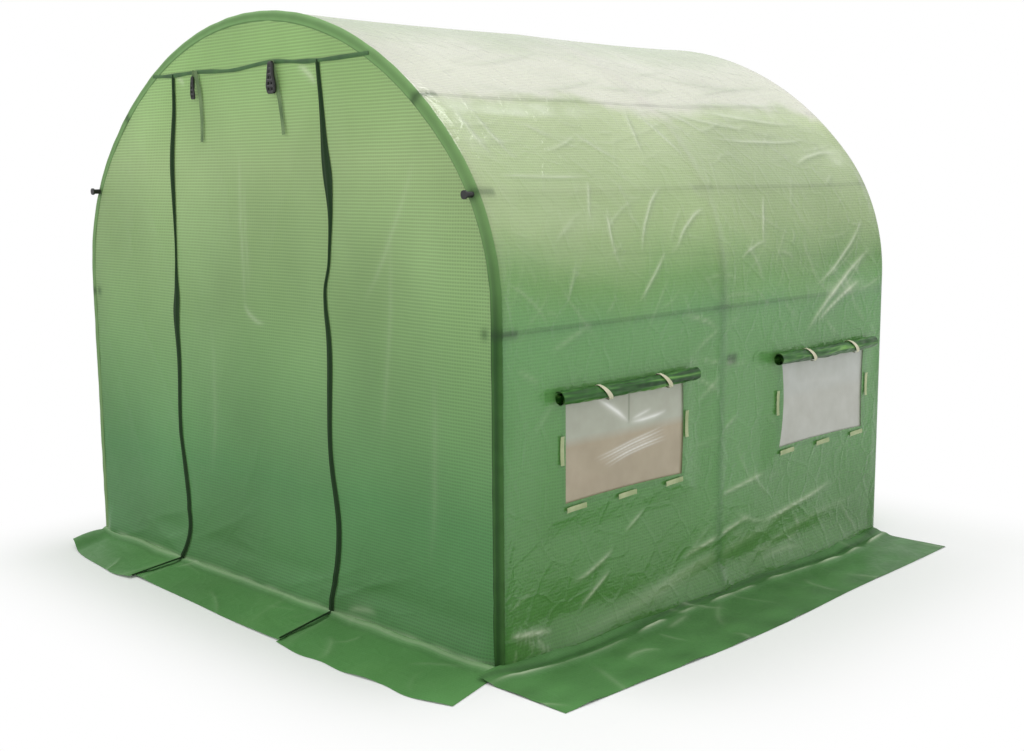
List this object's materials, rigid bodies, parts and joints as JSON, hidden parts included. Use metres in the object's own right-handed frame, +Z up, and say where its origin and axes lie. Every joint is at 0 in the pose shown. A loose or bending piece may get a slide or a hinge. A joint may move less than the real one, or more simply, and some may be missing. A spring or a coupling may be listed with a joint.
{
  "type": "polytunnel greenhouse",
  "caption": "Walk-in polytunnel greenhouse: bent tube hoops and rails under a green woven cover, with a zipped front door, rolled-up side window flaps and ground skirts.",
  "frame": {"origin": "ground level, middle of the footprint with the spread front and right skirts", "axes": "+Z up; -Y towards the zipped front door; +X towards the side with the spread skirt"},
  "size_m": [2.7106, 2.42, 2],
  "materials": {
    "galvanised_tube": "galvanised",
    "black_plastic": "moulded",
    "green_plastic": "moulded",
    "cover_cloth": "woven and coated, translucent",
    "roof_cloth": "woven and coated, glossy",
    "front_cloth": "woven and coated, matt",
    "hem_tape": "woven tape",
    "zip_tape": "coil zip on woven tape",
    "strap_webbing": "webbing",
    "window_net": "net with clear film",
    "roll_cloth": "woven and coated, glossy",
    "cream_tape": "woven tape",
    "pale_tab": "hook tape",
    "skirt_cloth": "woven and coated"
  },
  "bodies": {
    "root": {"front_legs": "galvanised_tube", "front_shoulders": "galvanised_tube", "front_crown": "galvanised_tube", "front_fittings": "black_plastic", "middle_legs": "galvanised_tube", "middle_shoulders": "galvanised_tube", "middle_crown": "galvanised_tube", "middle_fittings": "black_plastic", "back_legs": "galvanised_tube", "back_shoulders": "galvanised_tube", "back_crown": "galvanised_tube", "back_fittings": "black_plastic", "front_clips": "black_plastic", "leg_ties": "green_plastic", "waist_rails": "galvanised_tube", "shoulder_rails": "galvanised_tube", "roof_rails": "galvanised_tube", "ridge_rail": "galvanised_tube", "right_wall": "cover_cloth", "left_wall": "cover_cloth", "right_shoulder_cover": "cover_cloth", "left_shoulder_cover": "cover_cloth", "crown_cover": "roof_cloth", "front_left_panel": "front_cloth", "front_right_panel": "front_cloth", "front_top_panel": "front_cloth", "door_panel": "front_cloth", "back_panel": "front_cloth", "front_hem": "hem_tape", "left_zip": "zip_tape", "right_zip": "zip_tape", "door_header": "hem_tape", "door_straps": "strap_webbing", "strap_buckles": "black_plastic", "right_window_panes": "window_net", "right_window_rolls": "roll_cloth", "right_roll_ties": "cream_tape", "right_window_tabs": "pale_tab", "left_window_panes": "window_net", "left_window_rolls": "roll_cloth", "left_roll_ties": "cream_tape", "left_window_tabs": "pale_tab", "front_left_skirt": "skirt_cloth", "door_skirt": "skirt_cloth", "front_right_skirt": "skirt_cloth", "right_skirt": "skirt_cloth", "left_skirt": "skirt_cloth", "back_skirt": "skirt_cloth"}
  },
  "joints": []
}
